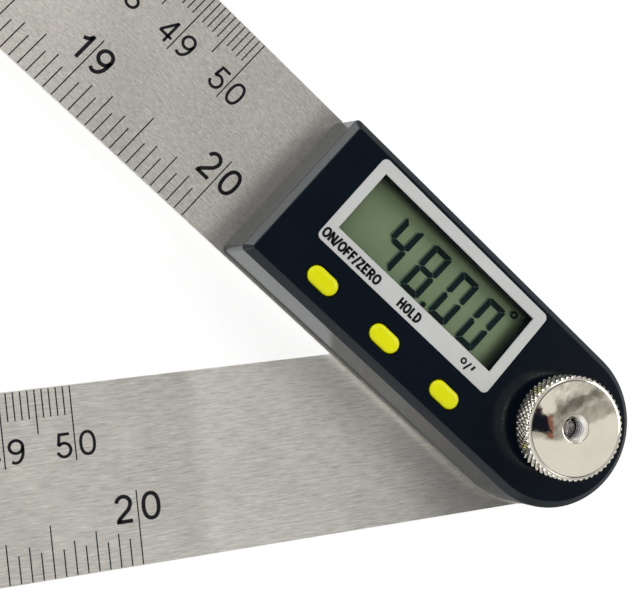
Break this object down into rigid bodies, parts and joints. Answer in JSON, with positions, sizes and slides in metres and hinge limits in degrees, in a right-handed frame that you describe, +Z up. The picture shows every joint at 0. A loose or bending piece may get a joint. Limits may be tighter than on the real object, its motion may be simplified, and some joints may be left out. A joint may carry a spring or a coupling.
{
  "type": "digital protractor",
  "caption": "Digital protractor: two hinged steel rules with an electronic display head, knurled clamp knob, buttons and a coin battery door.",
  "frame": {"origin": "on the pivot axis, at the back face of the lower blade and the flush head of the stud", "axes": "+Z up along the pivot axis towards the clamp knob, -X along the upper blade and the head, +Y towards the metric edge of the upper blade; the lower blade lies 48 degrees from it"},
  "size_m": [0.585, 0.4474, 0.0207],
  "materials": {
    "rule_steel": "brushed lengthwise, satin",
    "housing_plastic": "moulded, fine matte texture",
    "bezel_silver": "satin silver",
    "lens_clear": "clear, polished",
    "lcd_glass": "olive green liquid crystal panel",
    "black_plastic": "moulded, matte",
    "zebra_rubber": "striped silicone",
    "board_green": "solder mask over glass fibre",
    "chip_black": "moulded epoxy",
    "component_tan": "ceramic and tinned ends",
    "switch_metal": "stamped cover",
    "screw_steel": "zinc plated",
    "battery_steel": "nickel plated can",
    "contact_spring": "tinned spring bronze",
    "bush_brass": "turned",
    "stud_nickel": "nickel plated",
    "spacer_nylon": "natural nylon",
    "ring_steel": "black oxide spring steel",
    "washer_steel": "plated",
    "knob_nickel": "bright nickel, knurled",
    "button_yellow": "satin moulded yellow-green",
    "door_plastic": "moulded, matte"
  },
  "bodies": {
    "head": {"upper_blade": "rule_steel", "head_housing": "housing_plastic", "bezel_frame": "bezel_silver", "display_lens": "lens_clear", "lcd_panel": "lcd_glass", "lcd_holder": "black_plastic", "zebra_strips": "zebra_rubber", "main_pcb": "board_green", "controller_chip": "chip_black", "pcb_components": "component_tan", "tact_switches": "switch_metal", "case_screws": "screw_steel", "pcb_screws": "screw_steel", "battery_tray": "black_plastic", "coin_battery": "battery_steel", "positive_contact": "contact_spring", "negative_contact": "contact_spring", "pivot_bush": "bush_brass"},
    "lower_arm": {"lower_blade": "rule_steel", "pivot_stud": "stud_nickel", "spacer_washer": "spacer_nylon", "rotor_disc": "board_green", "retaining_ring": "ring_steel"},
    "knob_washer": {"knob_washer": "washer_steel"},
    "clamp_knob": {"clamp_knob": "knob_nickel"},
    "zero_button": {"zero_button": "button_yellow"},
    "hold_button": {"hold_button": "button_yellow"},
    "unit_button": {"unit_button": "button_yellow"},
    "battery_door": {"battery_door": "door_plastic"}
  },
  "joints": [
    {"name": "blade_pivot", "type": "hinge", "parent": "head", "child": "lower_arm", "pos_m": [0, 0, 0], "axis": [0, 0, 1], "continuous": true},
    {"name": "knob_lift", "type": "slide", "parent": "lower_arm", "child": "knob_washer", "axis": [0, 0, 1], "range_m": [0, 0.0014]},
    {"name": "knob_turn", "type": "hinge", "parent": "knob_washer", "child": "clamp_knob", "pos_m": [0, 0, 0], "axis": [0, 0, 1], "range_deg": [0, 720]},
    {"name": "zero_button_press", "type": "slide", "parent": "head", "child": "zero_button", "axis": [0, 0, -1], "range_m": [0, 0.0005], "stiffness_N_per_m": 1200, "springref_m": -0.001},
    {"name": "hold_button_press", "type": "slide", "parent": "head", "child": "hold_button", "axis": [0, 0, -1], "range_m": [0, 0.0005], "stiffness_N_per_m": 1200, "springref_m": -0.001},
    {"name": "unit_button_press", "type": "slide", "parent": "head", "child": "unit_button", "axis": [0, 0, -1], "range_m": [0, 0.0005], "stiffness_N_per_m": 1200, "springref_m": -0.001},
    {"name": "door_twist", "type": "hinge", "parent": "head", "child": "battery_door", "pos_m": [-0.0365, 0, 0], "axis": [0, 0, 1], "range_deg": [0, 45]}
  ],
  "couplings": [
    {"joint": "knob_lift", "follows": "knob_turn", "m_per_rad": 0.00011141}
  ]
}
